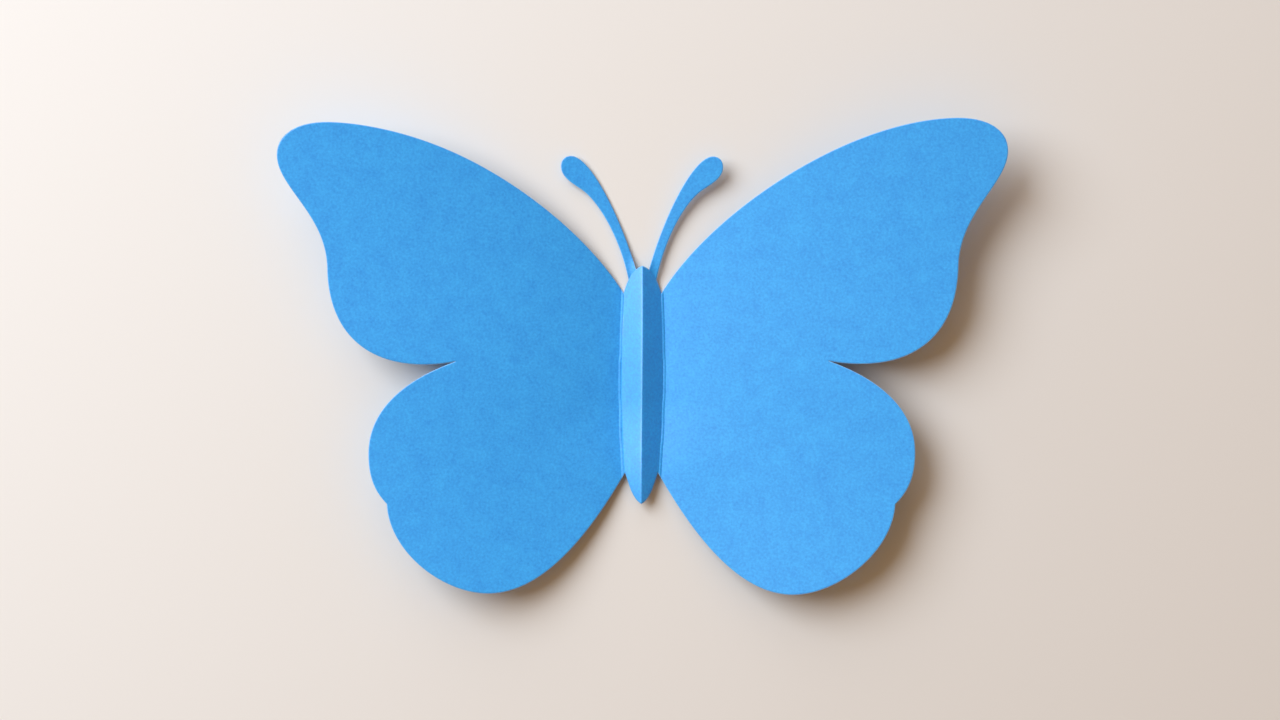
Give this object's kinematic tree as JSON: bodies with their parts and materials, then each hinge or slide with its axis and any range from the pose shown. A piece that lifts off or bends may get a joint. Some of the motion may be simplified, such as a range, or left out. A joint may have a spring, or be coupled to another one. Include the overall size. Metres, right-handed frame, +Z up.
{
  "type": "cut paper butterfly",
  "caption": "Butterfly cut from one sheet of card, folded up to a ridge along its body, with wings that spring up from two scored creases and bent antennae.",
  "frame": {"origin": "below the middle of the outline, on the surface that the butterfly lies on", "axes": "+X towards the right wing, +Y towards the head, +Z up"},
  "size_m": [0.2, 0.13, 0.018],
  "materials": {
    "blue_card": "matte uncoated coloured card"
  },
  "bodies": {
    "root": {"butterfly_card": "blue_card"}
  },
  "joints": []
}
